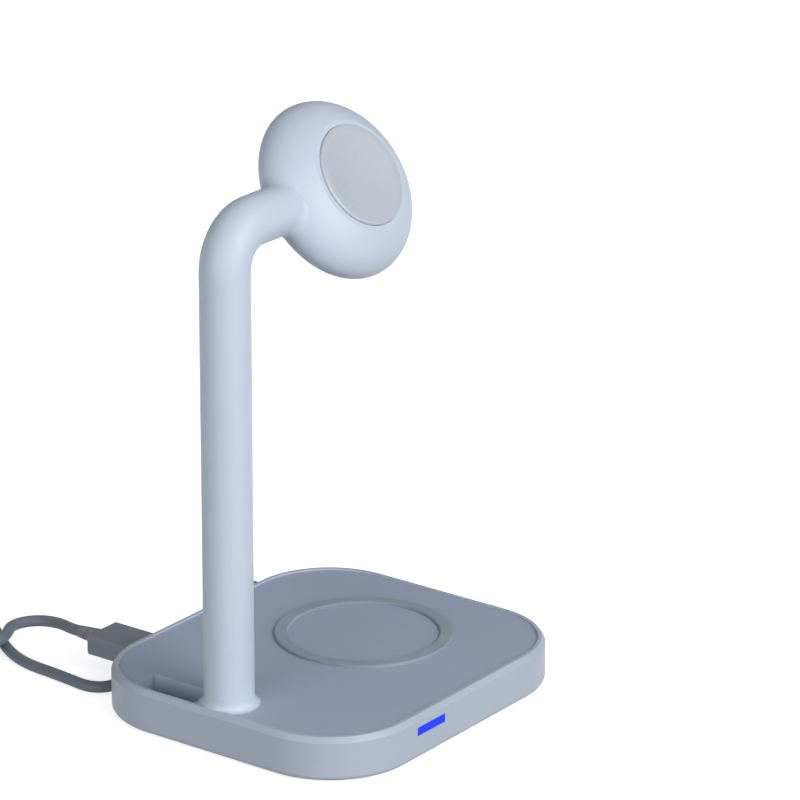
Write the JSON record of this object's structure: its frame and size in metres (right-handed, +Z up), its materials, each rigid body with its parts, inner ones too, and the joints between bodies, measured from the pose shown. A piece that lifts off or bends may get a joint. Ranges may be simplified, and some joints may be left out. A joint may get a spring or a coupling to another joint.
{
  "type": "two-in-one wireless charger",
  "caption": "Desk wireless charger: a low rounded base charges a phone lying on it, a bent post carries a tilted charging head for a watch, and a thin USB lead plugs in at the back.",
  "frame": {"origin": "centre of the base's footprint, on the surface that it stands on", "axes": "+Z up; -Y front, with the indicator light; +Y back, with the USB port; -X the side of the post"},
  "size_m": [0.0943, 0.156, 0.1342],
  "materials": {
    "housing": "satin",
    "underside": "satin",
    "puck_plastic": "satin gloss",
    "foot_rubber": "matt",
    "seat_silicone": "matt",
    "screw_steel": "machined",
    "ballast_steel": "rolled",
    "copper_wire": "enamelled winding",
    "ferrite": "matt",
    "inner_plastic": "satin",
    "board": "solder mask",
    "chip": "matt",
    "component": "matt",
    "diode": "clear resin",
    "indicator": "translucent, lit",
    "socket_metal": "plated",
    "socket_black": "matt",
    "magnet": "plated",
    "wire": "matt",
    "lead": "satin",
    "plug_plastic": "satin",
    "tie": "hook-and-loop strap"
  },
  "bodies": {
    "root": {"base_shell": "housing", "bottom_cover": "underside", "rubber_feet": "foot_rubber", "cover_screws": "screw_steel", "board_screws": "screw_steel", "post_screws": "screw_steel", "counterweight": "ballast_steel", "coil_carrier": "inner_plastic", "phone_ferrite": "ferrite", "phone_coil": "copper_wire", "anti_slip_ring": "seat_silicone", "main_board": "board", "control_chips": "chip", "power_components": "component", "indicator_diodes": "diode", "indicator_light_bar": "indicator", "usb_socket_shell": "socket_metal", "usb_socket_tongue": "socket_black", "post": "housing", "head_housing": "housing", "head_front_cover": "housing", "charging_puck": "puck_plastic", "watch_coil": "copper_wire", "watch_magnet": "magnet", "watch_ferrite": "ferrite", "watch_coil_carrier": "inner_plastic", "head_board": "board", "head_chips": "chip", "head_connector": "inner_plastic", "wire_harness": "wire", "harness_connector": "inner_plastic", "plug_grip": "plug_plastic", "plug_metal_shell": "socket_metal", "plug_strain_relief": "plug_plastic", "far_plug_grip": "plug_plastic", "far_plug_metal_shell": "socket_metal", "far_plug_strain_relief": "plug_plastic", "lead_from_plug": "lead", "lead_to_far_plug": "lead", "lead_coil": "lead", "lead_tie": "tie"}
  },
  "joints": []
}
